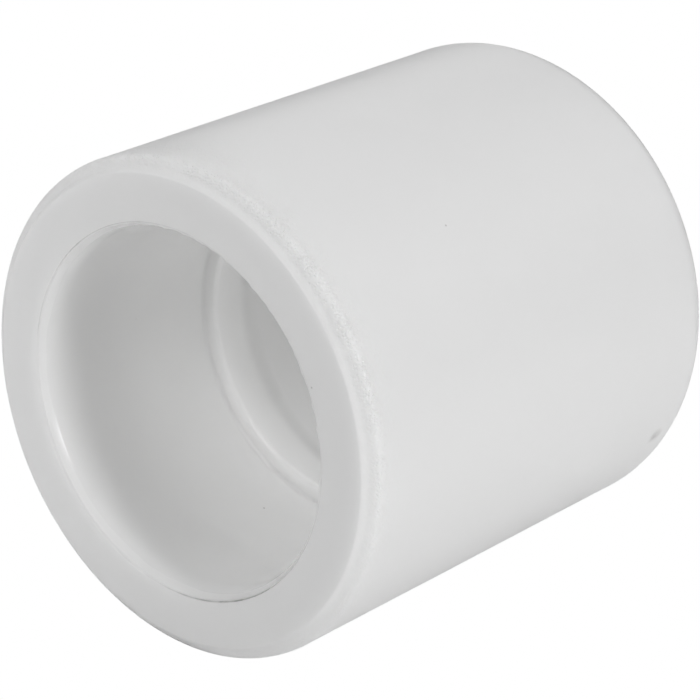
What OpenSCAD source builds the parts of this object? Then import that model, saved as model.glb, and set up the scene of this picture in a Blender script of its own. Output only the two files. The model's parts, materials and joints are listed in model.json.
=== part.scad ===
// Pipe cap for 32 mm polypropylene pipe: one injection moulding, welded onto the pipe's end.
// The pipe enters a plain socket, comes up against a stop ring and closes off a blind pocket.
// The cap lies on its side on z = 0, with its axis along Y and its mouth towards -Y.

/* [Body] */
// Outside diameter
body_d = 43; // [42:0.5:48]
// Overall length, from the closed end to the mouth
body_len = 45; // [44:0.5:60]
// Radius of the rounded edge around the closed end
end_edge_r = 2.7; // [0.5:0.1:4]
// Radius of the rounded edge around the rim of the mouth
rim_edge_r = 1.6; // [0.4:0.05:2]

/* [Pipe socket] */
// Diameter of the socket, slightly under the pipe it is welded to
socket_d = 31.2; // [30.7:0.05:31.3]
// Depth at which the straight wall of the socket ends
socket_straight = 18; // [17:0.1:18.2]
// Depth of the shoulder that stops the pipe
socket_depth = 19.6; // [19.3:0.1:21]
// How much wider the mouth is than the socket, on the radius
lead_in = 0.45; // [0.2:0.05:1]
// Depth of the lead-in's cone
lead_in_len = 1; // [0.4:0.1:2]
// How much narrower the root of the socket is, on the radius
root_step = 0.18; // [0.1:0.02:0.24]
// Radius of the fillet between the root and the shoulder
root_fillet_r = 0.4; // [0.2:0.05:0.5]

/* [Stop ring] */
// Diameter inside the stop ring
stop_d = 27.74; // [26:0.02:28.4]
// Length of the stop ring's narrowest part, from the shoulder
stop_len = 3.3; // [2:0.1:4]
// Radius of the ring's front corner
stop_edge_r = 0.45; // [0.1:0.05:0.6]
// Length of the cone that widens behind the ring, so that the core can be pulled out
stop_back_len = 2.2; // [0.8:0.1:3]

/* [Pocket] */
// Diameter of the blind pocket beyond the stop ring
pocket_d = 29.2; // [28.8:0.1:30.4]
// Thickness of the closed end
end_wall = 6.2; // [4:0.1:8]
// Radius where the pocket's wall meets its floor
floor_r = 4; // [1:0.5:8]

/* [Hidden] */
$fn = 180;
// Radii of the turned surfaces
body_r = body_d / 2;
socket_r = socket_d / 2;
root_r = socket_r - root_step;
stop_r = stop_d / 2;
pocket_r = pocket_d / 2;
// The root narrows over a cone that is four times as long as its step
root_cone_len = 4 * root_step;
// Heights above the closed end
straight_z = body_len - socket_straight;
shoulder_z = body_len - socket_depth;
ring_end_z = shoulder_z - stop_len;
pocket_top_z = ring_end_z - stop_back_len;
// Overlap that keeps neighbouring outlines joined, and cutters clear of a face
lap = 0.5;

// The area outside a convex corner's fillet. The corner is at the origin and points to +X +Y.
module corner_waste(r) {
    difference() {
        translate([-r, -r]) square(r + lap);
        translate([-r, -r]) circle(r);
        translate([-r, -r]) mirror([1, 0]) square(r + lap);
        translate([-r, -r]) mirror([0, 1]) square(r + lap);
    }
}

// Half outline of the closed blank: radius along X, height along Y
module blank_outline() {
    difference() {
        square([body_r, body_len]);
        translate([body_r, body_len]) corner_waste(rim_edge_r);
        translate([body_r, 0]) mirror([0, 1]) corner_waste(end_edge_r);
    }
}

// Half outline of the straight socket and its conical lead-in
module socket_outline() {
    polygon([
        [0, straight_z],
        [socket_r, straight_z],
        [socket_r, body_len - lead_in_len],
        [socket_r + lead_in, body_len],
        [socket_r + lead_in, body_len + lap],
        [0, body_len + lap]
    ]);
}

// Half outline of the narrower root of the socket, down to the shoulder
module root_outline() {
    polygon([
        [0, straight_z + lap],
        [socket_r, straight_z + lap],
        [socket_r, straight_z],
        [root_r, straight_z - root_cone_len],
        [0, straight_z - root_cone_len]
    ]);
    difference() {
        translate([0, shoulder_z]) square([root_r, straight_z - root_cone_len - shoulder_z + lap]);
        translate([root_r, shoulder_z]) mirror([0, 1]) corner_waste(root_fillet_r);
    }
}

// Half outline of the hole through the stop ring: a rounded front corner, and a cone behind
module ring_hole_outline() {
    translate([0, ring_end_z]) square([stop_r, stop_len + lap]);
    difference() {
        translate([0, shoulder_z - stop_edge_r]) square([stop_r + stop_edge_r, stop_edge_r + lap]);
        translate([stop_r + stop_edge_r, shoulder_z - stop_edge_r]) circle(stop_edge_r);
    }
    polygon([
        [0, ring_end_z + lap],
        [stop_r, ring_end_z + lap],
        [stop_r, ring_end_z],
        [pocket_r, pocket_top_z],
        [pocket_r, pocket_top_z - lap],
        [0, pocket_top_z - lap]
    ]);
}

// Half outline of the blind pocket
module pocket_outline() {
    difference() {
        translate([0, end_wall]) square([pocket_r, pocket_top_z - end_wall]);
        translate([pocket_r, end_wall]) mirror([0, 1]) corner_waste(floor_r);
    }
}

// The whole moulding: turned about +Z, then laid on its side
module cap_body() {
    color("whitesmoke")
    translate([0, body_len / 2, body_r])
    rotate([90, 0, 0])
    rotate_extrude()
    difference() {
        blank_outline();
        socket_outline();
        root_outline();
        ring_hole_outline();
        pocket_outline();
    }
}

cap_body();
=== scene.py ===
"""Looks of the moulded pipe cap: a turned body with its moulding marks, white plastic and soft light."""

import json
import math
from typing import NamedTuple

import bpy
from mathutils import Matrix, Vector, noise


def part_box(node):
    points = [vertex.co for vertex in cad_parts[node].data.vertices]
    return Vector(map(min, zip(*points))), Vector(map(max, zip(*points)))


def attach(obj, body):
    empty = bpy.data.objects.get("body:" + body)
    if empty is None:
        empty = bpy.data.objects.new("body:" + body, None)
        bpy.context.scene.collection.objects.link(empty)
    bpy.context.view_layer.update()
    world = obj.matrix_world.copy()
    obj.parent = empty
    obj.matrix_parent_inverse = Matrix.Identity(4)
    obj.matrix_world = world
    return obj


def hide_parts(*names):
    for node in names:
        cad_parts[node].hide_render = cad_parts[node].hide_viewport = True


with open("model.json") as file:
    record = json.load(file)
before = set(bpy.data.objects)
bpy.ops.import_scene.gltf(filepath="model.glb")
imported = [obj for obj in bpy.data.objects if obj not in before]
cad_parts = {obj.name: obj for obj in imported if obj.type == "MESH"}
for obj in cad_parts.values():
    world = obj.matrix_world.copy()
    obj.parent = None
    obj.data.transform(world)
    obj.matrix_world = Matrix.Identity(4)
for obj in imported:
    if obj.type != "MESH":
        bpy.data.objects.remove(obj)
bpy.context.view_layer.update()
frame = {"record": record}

MM = 0.001

# ---- Driving sizes, from the frame ----
LOW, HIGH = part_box("cap_body")
BODY_R = (HIGH.x - LOW.x) / 2
LENGTH = HIGH.y - LOW.y
AXIS_Z = (HIGH.z + LOW.z) / 2
MOUTH_Y = LOW.y
SOCKET = next(m for m in frame["record"]["mounts"] if m["name"] == "pipe_socket")
SOCKET_R = SOCKET["dims"]["r_mm"] * MM
SOCKET_MIDDLE = SOCKET["pos_m"][1] - MOUTH_Y
SOCKET_HALF = SOCKET["dims"]["length_mm"] * MM / 2
LEAD_IN_LEN = SOCKET_MIDDLE - SOCKET_HALF
SOCKET_STRAIGHT = SOCKET_MIDDLE + SOCKET_HALF

# ---- Profile, in metres. Depths run inwards from the rim's face ----
# The rim's edge, from the face to the wall: way along it in mm, and tilt in degrees.
# It turns sharply at first, eases into a shallow hollow, and then runs gently into the wall.
RIM_TURN = (
    (0.0, 0), (0.18, 50), (0.42, 58), (0.62, 40), (0.85, 26),
    (1.3, 31), (1.65, 58), (1.9, 82), (2.2, 92.5), (2.6, 90),
)
RIM_STEPS = 56
END_EDGE_R = 2.7 * MM
LEAD_IN = 0.45 * MM
MOUTH_R = SOCKET_R + LEAD_IN
ROOT_STEP = 0.18 * MM
ROOT_CONE_LEN = 4 * ROOT_STEP
ROOT_FILLET_R = 0.4 * MM
SHOULDER_DEPTH = 19.6 * MM
STOP_R = 13.87 * MM
STOP_LENGTH = 3.3 * MM
STOP_EDGE_R = 0.45 * MM
STOP_BACK_LEN = 2.2 * MM
# The cone behind the ring eases in and out. It is longer than a straight one by this factor,
# and this share of it lies in front of the straight one's start
STOP_BACK_STRETCH = 1.4
STOP_BACK_EARLY = 0.143
STOP_BACK_STEPS = 14
POCKET_R = 14.6 * MM
END_WALL = 6.2 * MM
FLOOR_R = 4 * MM
TURN_STEPS = 540

# ---- Moulding marks ----
# Angles round the axis are in degrees, from the side (+X) towards the top.
# Fine tool lines that run round the rim: way along the edge, height (a groove is negative) and width
RIM_LINES = (
    (0.45 * MM, 0.010 * MM, 0.12 * MM),
    (1.10 * MM, 0.016 * MM, 0.18 * MM),
    (1.90 * MM, -0.010 * MM, 0.14 * MM),
)
RIM_LINE_DRIFT = 0.05 * MM
# The lines push nothing outwards where the edge has all but reached the wall
RIM_LINE_LAST_TILT = math.radians(80)
NICK_ANGLE = 115
NICK_WIDTH = 0.8
NICK_DEPTH = 0.09 * MM
# Places round the mouth are (strength, angle, width), with the width in degrees too.
# The open seam between the rim's face and the lead-in is widest underneath and closed on one side
SEAM_WIDTH = 0.15 * MM
SEAM_DEPTH = 0.2 * MM
SEAM_ALL_ROUND = 0.16
SEAM_PLACES = ((0.84, -62, 32), (0.3, 125, 38), (-0.3, 215, 45))
# Flash on the mouth's edge: torn on the upper side, with a few crumbs on the right
FLASH_HEIGHT = 0.26 * MM
FLASH_AT_SEAM = 0.05 * MM
FLASH_REACH = 0.5 * MM
FLASH_PLACES = ((1.0, 80, 26), (0.7, 15, 32))
# The mouth's edge is worn round where the seam is closed
WORN_REACH = 0.9 * MM
WORN_DEPTH = 0.16 * MM
WORN_PLACES = ((1.0, 205, 58),)
# The etched band runs from the rim's edge up the wall, and reaches furthest on the upper side.
# Strength, angle and width round the axis, then its middle and reach along that way
ETCHED_PLACES = (
    (0.9, 45, 40, 1.7 * MM, 0.8 * MM),
    (0.7, 98, 22, 4.0 * MM, 2.6 * MM),
)
ETCHED_ALL_ROUND = (0.25, 1.6 * MM, 1.2 * MM)
ETCHED_WALL_START = 0.6 * MM
# The wall, the face and the lead-in of a moulding are never quite true
WALL_WAVE = 0.012 * MM
WALL_WAVE_LEN = 9 * MM
FACE_SINK = 0.012 * MM
FACE_SINK_LEN = 4 * MM
LEAD_IN_WAVE = 0.012 * MM
# A small rub mark on the wall near the closed end
SMUDGE_ANGLE = math.radians(-27)
SMUDGE_FROM_END = 4.4 * MM
SMUDGE = Vector((
    BODY_R * math.cos(SMUDGE_ANGLE),
    HIGH.y - SMUDGE_FROM_END,
    AXIS_Z + BODY_R * math.sin(SMUDGE_ANGLE),
))


class Point(NamedTuple):
    """A point of the profile. The rim's edge also has its way along the edge and its tilt in radians."""

    depth: float
    radius: float
    part: str
    way: float = 0.0
    tilt: float = 0.0


# ---- Profile ----
def arc(centre, radius, start, end, steps):
    """Points (depth, radius) on an arc. Angles are in degrees, from the depth axis to the radius axis."""
    angles = [math.radians(start + (end - start) * i / steps) for i in range(steps + 1)]
    return [(centre[0] + radius * math.cos(a), centre[1] + radius * math.sin(a)) for a in angles]


def line(start, end, steps):
    """Points on a straight stretch, with the end but not the start."""
    return [tuple(s + (e - s) * i / steps for s, e in zip(start, end)) for i in range(1, steps + 1)]


def rim_tilt(way):
    """Tilt of the rim's edge at one place along it, in radians."""
    place = way / MM
    for (low, start), (high, end) in zip(RIM_TURN, RIM_TURN[1:]):
        if place <= high:
            return math.radians(start + (end - start) * (place - low) / (high - low))
    return math.pi / 2


def rim_edge():
    """The rounded edge of the rim, from the wall to the face."""
    step = RIM_TURN[-1][0] * MM / RIM_STEPS
    depth = radius = 0.0
    points = [Point(0.0, 0.0, "rim")]
    for i in range(RIM_STEPS):
        tilt = rim_tilt((i + 0.5) * step)
        depth += step * math.sin(tilt)
        radius += step * math.cos(tilt)
        points.append(Point(depth, radius, "rim", (i + 1) * step, rim_tilt((i + 1) * step)))
    inset = BODY_R - max(p.radius for p in points)
    return [p._replace(radius=inset + p.radius) for p in reversed(points)]


def ring_back(ring_end):
    """The cone behind the stop ring, which runs smoothly into the pocket."""
    length = STOP_BACK_LEN * STOP_BACK_STRETCH
    points = []
    for i in range(1, STOP_BACK_STEPS + 1):
        way = i / STOP_BACK_STEPS
        rise = way * way * (3 - 2 * way)
        points.append((ring_end + (way - STOP_BACK_EARLY) * length, STOP_R + (POCKET_R - STOP_R) * rise))
    return points


def profile():
    """The whole half outline, from the closed end round to the pocket's floor."""
    points = []

    def add(part, new):
        points.extend(Point(d, r, part) for d, r in new)

    rim = rim_edge()
    face_edge = rim[-1].radius
    root_r = SOCKET_R - ROOT_STEP
    ring_end = SHOULDER_DEPTH + STOP_LENGTH
    floor = LENGTH - END_WALL
    flat = BODY_R - END_EDGE_R

    add("end", [(LENGTH, 0.0)] + line((LENGTH, 0.0), (LENGTH, flat), 9)[:-1])
    add("end", arc((LENGTH - END_EDGE_R, flat), END_EDGE_R, 0, 90, 12))
    add("wall", line((LENGTH - END_EDGE_R, BODY_R), (rim[0].depth, rim[0].radius), 20)[:-1])
    points.extend(rim)
    add("face", line((0.0, face_edge), (0.0, MOUTH_R + WORN_REACH), 7))
    add("face", line((0.0, MOUTH_R + WORN_REACH), (0.0, MOUTH_R + SEAM_WIDTH), 8))
    add("seam", [(0.1 * SEAM_DEPTH, MOUTH_R + 0.8 * SEAM_WIDTH), (SEAM_DEPTH, MOUTH_R + 0.5 * SEAM_WIDTH)])
    lip = (0.02 * MM, MOUTH_R)
    add("lead_in", [(0.35 * SEAM_DEPTH, MOUTH_R + 0.2 * SEAM_WIDTH), lip])
    add("lead_in", line(lip, (LEAD_IN_LEN, SOCKET_R), 6))
    add("socket", line((LEAD_IN_LEN, SOCKET_R), (SOCKET_STRAIGHT, SOCKET_R), 10))
    add("root", [(SOCKET_STRAIGHT + ROOT_CONE_LEN, root_r)])
    add("root", arc((SHOULDER_DEPTH - ROOT_FILLET_R, root_r - ROOT_FILLET_R), ROOT_FILLET_R, 90, 0, 8))
    add("ring", arc((SHOULDER_DEPTH + STOP_EDGE_R, STOP_R + STOP_EDGE_R), STOP_EDGE_R, 180, 270, 6))
    add("ring", line((SHOULDER_DEPTH + STOP_EDGE_R, STOP_R), (ring_end - STOP_BACK_LEN / 5, STOP_R), 2))
    add("pocket", ring_back(ring_end))
    add("pocket", line((points[-1].depth, POCKET_R), (floor - FLOOR_R, POCKET_R), 6)[:-1])
    add("pocket", arc((floor - FLOOR_R, POCKET_R - FLOOR_R), FLOOR_R, 90, 0, 8))
    add("pocket", line((floor, POCKET_R - FLOOR_R), (floor, 0.0), 3))
    return points


# ---- Moulding marks round the axis ----
def bump(value, middle, width):
    """A smooth bump, 1 at the middle and close to 0 past twice the width."""
    return math.exp(-(((value - middle) / width) ** 2))


def around(angle, middle, width):
    """The same bump on a circle, in degrees."""
    away = (angle - middle + 180) % 360 - 180
    return bump(away, 0, width)


def spread(angle, places):
    """Strength of a mark at one angle, from the places where it lies."""
    return sum(strength * around(angle, middle, width) for strength, middle, width in places)


def wander(angle, waves, seed):
    """Smooth random value, about -1 to 1, that closes on itself round the axis."""
    a = math.radians(angle)
    reach = waves / (2 * math.pi)
    return noise.noise((reach * math.cos(a), reach * math.sin(a), seed))


def seam_depth(angle):
    """How open the seam is, as a share of its full depth."""
    share = SEAM_ALL_ROUND + spread(angle, SEAM_PLACES) + 0.2 * wander(angle, 40, 3.1)
    return min(1.0, max(0.0, share))


def ragged(angle):
    """How far the flash stands out, from 0 up: fine teeth and coarser ones, where the edge is torn."""
    teeth = 1.3 * max(0.0, wander(angle, 150, 7.7)) + 0.8 * max(0.0, wander(angle, 60, 1.9))
    return spread(angle, FLASH_PLACES) * teeth


def worn_depth(angle):
    """How much of the mouth's edge is worn away."""
    return WORN_DEPTH * spread(angle, WORN_PLACES)


def coarseness(point, angle):
    """How strongly the band next to the rim is etched, from 0 to 1."""
    if point.part == "rim" and point.way > 0.2 * MM:
        place = point.way
    elif point.part == "wall" and point.depth < 9 * MM:
        place = point.depth + ETCHED_WALL_START
    else:
        return 0.0
    strength, middle, reach = ETCHED_ALL_ROUND
    share = strength * bump(place, middle, reach)
    for strength, centre, width, middle, reach in ETCHED_PLACES:
        share += strength * around(angle, centre, width) * bump(place, middle, reach)
    return min(1.0, share)


def mark_wall(point, angle):
    a = math.radians(angle)
    wave = noise.noise((3 * math.cos(a), 3 * math.sin(a), point.depth / WALL_WAVE_LEN))
    return point.depth, point.radius - WALL_WAVE * (0.5 + 0.5 * wave)


def mark_rim(point, angle):
    push = 0.0
    for number, (place, height, width) in enumerate(RIM_LINES):
        strength = 0.75 + 0.5 * wander(angle, 9, number + 0.5)
        drift = RIM_LINE_DRIFT * wander(angle, 5, number + 4.5)
        push += height * strength * bump(point.way, place + drift, width)
    if point.tilt > RIM_LINE_LAST_TILT:
        push = min(push, 0.0)
    nick = NICK_DEPTH * around(angle, NICK_ANGLE, NICK_WIDTH) * bump(point.way, 0.1 * MM, 0.2 * MM)
    depth = point.depth - push * math.cos(point.tilt) + nick
    return depth, point.radius + push * math.sin(point.tilt)


def mark_face(point, angle):
    depth = point.depth
    a = math.radians(angle)
    reach = point.radius / FACE_SINK_LEN
    sink = noise.noise((reach * math.cos(a), reach * math.sin(a), 5.5))
    if point.radius < BODY_R - 2 * MM:
        depth += FACE_SINK * (1 + sink)
    near_edge = max(0.0, 1 - (point.radius - MOUTH_R) / WORN_REACH)
    return depth + worn_depth(angle) * near_edge ** 2, point.radius


def mark_seam(point, angle):
    depth = point.depth * seam_depth(angle) + worn_depth(angle)
    return depth, point.radius - FLASH_AT_SEAM * ragged(angle)


def mark_lead_in(point, angle):
    near_edge = max(0.0, 1 - point.depth / FLASH_REACH)
    wave = LEAD_IN_WAVE * wander(angle, 34, 2.2) * bump(point.depth, 0.55 * MM, 0.4 * MM)
    radius = point.radius - FLASH_HEIGHT * ragged(angle) * near_edge + wave
    return point.depth + worn_depth(angle) * near_edge, radius


# The parts of the profile that have marks, each with its function from (point, angle) to (depth, radius)
MARKS = {
    "wall": mark_wall,
    "rim": mark_rim,
    "face": mark_face,
    "seam": mark_seam,
    "lead_in": mark_lead_in,
}


# ---- Mesh ----
def turned_mesh(name, points):
    """A closed mesh turned about the cap's axis. The profile starts and ends on the axis."""
    first, *rings, last = points
    angles = [360 * i / TURN_STEPS for i in range(TURN_STEPS)]
    verts = [(0.0, MOUTH_Y + p.depth, AXIS_Z) for p in (first, last)]
    masks = {"coarse": [0.0, 0.0], "soiled": [0.0, 0.0]}
    for point in rings:
        for angle in angles:
            depth, radius = point.depth, point.radius
            if point.part in MARKS:
                depth, radius = MARKS[point.part](point, angle)
                depth, radius = max(depth, 0.0), min(radius, BODY_R)
            a = math.radians(angle)
            verts.append((radius * math.cos(a), MOUTH_Y + depth, AXIS_Z + radius * math.sin(a)))
            masks["coarse"].append(coarseness(point, angle))
            # The seam's mask carries painted shade into its groove
            masks["soiled"].append(seam_depth(angle) if point.part == "seam" else 0.0)
    faces = []
    last_ring = 2 + (len(rings) - 1) * TURN_STEPS
    for i in range(TURN_STEPS):
        j = (i + 1) % TURN_STEPS
        faces.append((0, 2 + j, 2 + i))
        faces.append((1, last_ring + i, last_ring + j))
        for low in range(2, last_ring, TURN_STEPS):
            high = low + TURN_STEPS
            faces.append((low + i, low + j, high + j, high + i))
    mesh = bpy.data.meshes.new(name)
    mesh.from_pydata(verts, [], faces)
    mesh.update()
    for mask, values in masks.items():
        layer = mesh.attributes.new(mask, "FLOAT", "POINT")
        layer.data.foreach_set("value", values)
    for p in mesh.polygons:
        p.use_smooth = True
    obj = bpy.data.objects.new(name, mesh)
    bpy.context.scene.collection.objects.link(obj)
    return obj


# ---- Plastic ----
PLASTIC_IOR = 1.49
# How far light travels under the surface
LIGHT_REACH = 2 * MM
CLEAN = (0.955, 0.955, 0.95, 1)
CLOUDY = (0.94, 0.94, 0.935, 1)
# Painted shade for the pits between the etched band's grains
PIT_SHADE = (0.86, 0.86, 0.855, 1)
# Dark for the specks and the rub mark, and painted shade for the seam's groove
DIRT_AND_SHADE = (0.12, 0.11, 0.1, 1)
# Shares of those colours
PIT_SHADE_SHARE = 0.2
SPECK_SHARE = 0.35
# How dark the painted shade in the seam's groove gets
SEAM_SHADE_SHARE = 0.6
SMUDGE_SHARE = 0.5
# Roughness of the outside, from and to, and the share by which the core pin leaves the socket smoother
SATIN = (0.38, 0.46)
SOCKET_POLISH = 0.42
# Height of the relief, and the share of it that the overall grain has
RELIEF = 0.1 * MM
FINE_SHARE = 0.02
# Texture scales, in cells per metre
CLOUDS_PER_M = 120
SPECKS_PER_M = 260
SATIN_PER_M = 300
PATCHES_PER_M = 400
SEAM_SHADE_NOISE_PER_M = 900
SMUDGE_PER_M = 1500
FINE_PER_M = 2500
GRAINS_PER_M = 4200


class Nodes:
    """Small helper that adds and links shader nodes."""

    def __init__(self, material):
        self.tree = material.node_tree

    def put(self, node, key, value):
        """Sets an input by name or number, or links it where the value is another node's output."""
        if isinstance(value, bpy.types.NodeSocket):
            self.tree.links.new(value, node.inputs[key])
        else:
            node.inputs[key].default_value = value

    def add(self, kind, **inputs):
        node = self.tree.nodes.new("ShaderNode" + kind)
        for name, value in inputs.items():
            self.put(node, name, value)
        return node

    def math(self, operation, a, b=0.0, clamp=False):
        node = self.add("Math")
        node.operation = operation
        node.use_clamp = clamp
        self.put(node, 0, a)
        self.put(node, 1, b)
        return node.outputs[0]

    def ramp(self, value, low, high, out_low=0.0, out_high=1.0):
        """Smooth step from out_low at low to out_high at high."""
        node = self.add("MapRange", Value=value)
        node.interpolation_type = "SMOOTHSTEP"
        limits = {"From Min": low, "From Max": high, "To Min": out_low, "To Max": out_high}
        for name, number in limits.items():
            self.put(node, name, number)
        return node.outputs[0]

    def mix(self, share, a, b):
        """The colour a, with a share of b."""
        node = self.add("Mix")
        node.data_type = "RGBA"
        for number, value in ((0, share), (6, a), (7, b)):
            self.put(node, number, value)
        return node.outputs[2]

    def attribute(self, name):
        node = self.add("Attribute")
        node.attribute_name = name
        return node.outputs["Fac"]

    def cloud(self, place, scale, detail):
        node = self.add("TexNoise", Vector=place, Scale=scale, Detail=detail, Roughness=0.5)
        return node.outputs["Fac"]

    def distance(self, place, point):
        node = self.add("VectorMath")
        node.operation = "DISTANCE"
        self.put(node, 0, place)
        self.put(node, 1, point)
        return node.outputs["Value"]


def inside_socket(n, place):
    """1 within the socket's radius and 0 further out, at every depth."""
    split = n.add("SeparateXYZ", Vector=place)
    across = n.math("POWER", split.outputs["X"], 2.0)
    height = n.math("POWER", n.math("SUBTRACT", split.outputs["Z"], AXIS_Z), 2.0)
    radius = n.math("SQRT", n.math("ADD", across, height))
    return n.ramp(radius, SOCKET_R + 0.25 * MM, SOCKET_R + 0.02 * MM)


def coarse_grains(n, place):
    """Coarse, patchy grains on the etched band next to the rim. They raise the relief and also carry
    painted shade into the pits.
    """
    grains = n.add("TexVoronoi", Vector=place, Scale=GRAINS_PER_M)
    patchy = n.ramp(n.cloud(place, PATCHES_PER_M, 2), 0.3, 0.7, 0.6, 1.0)
    etched = n.math("MULTIPLY", n.attribute("coarse"), patchy)
    return n.math("MULTIPLY", n.ramp(grains.outputs["Distance"], 0.15, 0.6), etched)


def dirt_and_shade_share(n, place):
    """How dark the plastic is with specks, painted shade in the seam's groove and the rub mark, from 0 to
    1.
    """
    specks = n.add("TexVoronoi", Vector=place, Scale=SPECKS_PER_M)
    chosen = n.ramp(n.add("SeparateColor", Color=specks.outputs["Color"]).outputs[0], 0.8, 0.9)
    speck = n.math("MULTIPLY", n.ramp(specks.outputs["Distance"], 0.035, 0.015), chosen)
    seam_shade_noise = n.ramp(n.cloud(place, SEAM_SHADE_NOISE_PER_M, 2), 0.3, 0.6, 0.5, 1.0)
    # Painted shade in the seam's groove, darker where the seam is more open
    seam = n.math("MULTIPLY", n.attribute("soiled"), seam_shade_noise)
    near = n.ramp(n.distance(place, SMUDGE), 1.1 * MM, 0.2 * MM)
    smudge = n.math("MULTIPLY", near, n.cloud(place, SMUDGE_PER_M, 2))
    dark = n.math("MAXIMUM", n.math("MULTIPLY", speck, SPECK_SHARE), n.math("MULTIPLY", seam, SEAM_SHADE_SHARE))
    return n.math("MAXIMUM", dark, n.math("MULTIPLY", smudge, SMUDGE_SHARE), clamp=True)


def polypropylene():
    """Translucent white plastic with painted shade in the etched band's grain pits, a smoother socket,
    specks, a rub mark and painted shade in the seam.
    """
    material = bpy.data.materials.new("white_polypropylene")
    material.use_nodes = True
    n = Nodes(material)
    shader = material.node_tree.nodes["Principled BSDF"]
    n.put(shader, "IOR", PLASTIC_IOR)
    n.put(shader, "Subsurface Weight", 1.0)
    n.put(shader, "Subsurface Radius", (1, 1, 1))
    n.put(shader, "Subsurface Scale", LIGHT_REACH)

    place = n.add("TexCoord").outputs["Object"]
    grain = coarse_grains(n, place)

    plain = n.mix(n.ramp(n.cloud(place, CLOUDS_PER_M, 3), 0.3, 0.7), CLEAN, CLOUDY)
    # Painted shade in the pits of the etched band's grains
    pit_shaded = n.mix(n.math("MULTIPLY", grain, PIT_SHADE_SHARE, clamp=True), plain, PIT_SHADE)
    # Specks and the rub mark darken the colour, and painted shade darkens the seam's groove
    n.put(shader, "Base Color", n.mix(dirt_and_shade_share(n, place), pit_shaded, DIRT_AND_SHADE))

    satin = n.ramp(n.cloud(place, SATIN_PER_M, 3), 0.3, 0.7, *SATIN)
    polish = n.math("SUBTRACT", 1.0, n.math("MULTIPLY", inside_socket(n, place), SOCKET_POLISH))
    n.put(shader, "Roughness", n.math("MULTIPLY", polish, satin))

    fine = n.math("MULTIPLY", n.cloud(place, FINE_PER_M, 3), FINE_SHARE)
    relief = n.add("Bump", Strength=1.0, Distance=RELIEF, Height=n.math("ADD", fine, grain))
    n.put(shader, "Normal", relief.outputs[0])
    return material


# ---- Camera ----
# The cap's axis lies AZIMUTH to the right of the camera's heading, and the camera looks down by ELEVATION.
AZIMUTH = math.radians(41.2)
ELEVATION = math.radians(22.1)
LENS = 155
SENSOR = 36
# Where the middle of the mouth's face lies from the camera, in body radii: right, up and forward
MOUTH_FROM_CAMERA = (-0.668, -0.2435, 11.372)


def add_camera():
    right = Vector((math.cos(AZIMUTH), math.sin(AZIMUTH), 0))
    forward = Vector((
        -math.sin(AZIMUTH) * math.cos(ELEVATION),
        math.cos(AZIMUTH) * math.cos(ELEVATION),
        -math.sin(ELEVATION),
    ))
    up = right.cross(forward)
    data = bpy.data.cameras.new("camera")
    data.lens = LENS
    data.sensor_width = SENSOR
    data.clip_start = 0.01
    camera = bpy.data.objects.new("camera", data)
    bpy.context.scene.collection.objects.link(camera)
    mouth = Vector((0, MOUTH_Y, AXIS_Z))
    x, y, z = (BODY_R * k for k in MOUTH_FROM_CAMERA)
    place = mouth - right * x - up * y - forward * z
    turn = Matrix((right, up, -forward)).transposed()
    camera.matrix_world = Matrix.Translation(place) @ turn.to_4x4()
    bpy.context.scene.camera = camera


# ---- Stage ----
FLOOR_SIZE = 6.0
SURROUND_STRENGTH = 0.05
WHITE = (1, 1, 1, 1)


def show_camera(tree, lit, seen, output):
    """Sends one shader to the camera and another to all other light."""
    path = tree.nodes.new("ShaderNodeLightPath")
    pick = tree.nodes.new("ShaderNodeMixShader")
    tree.links.new(path.outputs["Is Camera Ray"], pick.inputs[0])
    tree.links.new(lit.outputs[0], pick.inputs[1])
    tree.links.new(seen.outputs[0], pick.inputs[2])
    tree.links.new(pick.outputs[0], tree.nodes[output].inputs["Surface"])


def add_floor():
    """A plain white table. It glows for the camera only, so it adds no light from below."""
    half = FLOOR_SIZE / 2
    mesh = bpy.data.meshes.new("floor")
    corners = ((-half, -half), (half, -half), (half, half), (-half, half))
    mesh.from_pydata([(x, y, LOW.z) for x, y in corners], [], [(0, 1, 2, 3)])
    floor = bpy.data.objects.new("floor", mesh)
    bpy.context.scene.collection.objects.link(floor)
    material = bpy.data.materials.new("pale_floor")
    material.use_nodes = True
    tree = material.node_tree
    shader = tree.nodes["Principled BSDF"]
    shader.inputs["Base Color"].default_value = (0.9, 0.9, 0.9, 1)
    shader.inputs["Roughness"].default_value = 1
    shader.inputs["Specular IOR Level"].default_value = 0
    glow = tree.nodes.new("ShaderNodeEmission")
    glow.inputs["Strength"].default_value = 1.0
    show_camera(tree, shader, glow, "Material Output")
    mesh.materials.append(material)


def add_surround():
    """A faint even light from all round, which the camera sees as white."""
    world = bpy.data.worlds.new("light_tent")
    bpy.context.scene.world = world
    world.use_nodes = True
    tree = world.node_tree
    faint = tree.nodes["Background"]
    faint.inputs["Color"].default_value = WHITE
    faint.inputs["Strength"].default_value = SURROUND_STRENGTH
    white = tree.nodes.new("ShaderNodeBackground")
    white.inputs["Color"].default_value = WHITE
    show_camera(tree, faint, white, "World Output")


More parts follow.
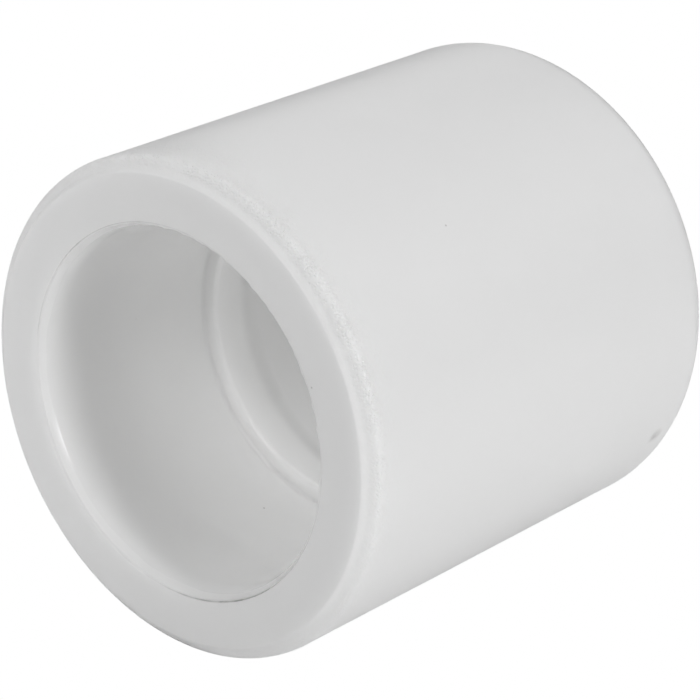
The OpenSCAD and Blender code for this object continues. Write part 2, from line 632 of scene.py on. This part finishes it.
def add_lamp(name, kind, power, place):
    data = bpy.data.lights.new(name, kind)
    data.energy = power
    lamp = bpy.data.objects.new(name, data)
    bpy.context.scene.collection.objects.link(lamp)
    lamp.location = place
    lamp.rotation_mode = "QUATERNION"
    lamp.visible_camera = False
    return lamp


def add_softbox(name, azimuth, elevation, distance, size, power):
    """A square softbox that faces the cap. Azimuth 0 is behind the camera, and 90 is to its right."""
    a = AZIMUTH + math.radians(azimuth)
    e = math.radians(elevation)
    away = Vector((math.sin(a) * math.cos(e), -math.cos(a) * math.cos(e), math.sin(e)))
    lamp = add_lamp(name, "AREA", power, Vector((0, 0, AXIS_Z)) + away * distance)
    lamp.data.size = size
    lamp.rotation_quaternion = away.to_track_quat("Z", "Y")


def add_inner_lamp(name, kind, depth, size, power):
    """A faint lamp on the axis, for the light that comes through the wall. An area lamp shines inwards."""
    lamp = add_lamp(name, kind, power, (0, MOUTH_Y + depth, AXIS_Z))
    lamp.visible_glossy = False
    if kind == "AREA":
        lamp.data.shape = "DISK"
        lamp.data.size = size
        lamp.rotation_quaternion = Vector((0, -1, 0)).to_track_quat("Z", "Y")
    else:
        lamp.data.shadow_soft_size = size / 2


def add_lights():
    # Name, azimuth and elevation in degrees, distance and size in metres, power in watts
    add_softbox("key", 44, 20, 0.8, 0.16, 2.9)
    add_softbox("front_fill", -28, 38, 0.8, 0.28, 1.7)
    add_softbox("face_fill", -95, 30, 0.12, 0.06, 0.0238)
    add_softbox("top_back", 180, 68, 0.35, 0.14, 0.356)
    add_softbox("low_back", 180, 20, 0.35, 0.14, 0.052)
    # Name, kind, depth in the socket and size in metres, power in watts
    add_inner_lamp("socket_fill", "AREA", 8 * MM, 12 * MM, 0.000285)
    add_inner_lamp("ring_fill", "POINT", 21 * MM, 10 * MM, 0.00064)


body = turned_mesh("cap", profile())
body.data.materials.append(polypropylene())
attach(body, "root")
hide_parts("cap_body")

bpy.context.scene.view_settings.view_transform = "Standard"
add_camera()
add_surround()
add_floor()
add_lights()
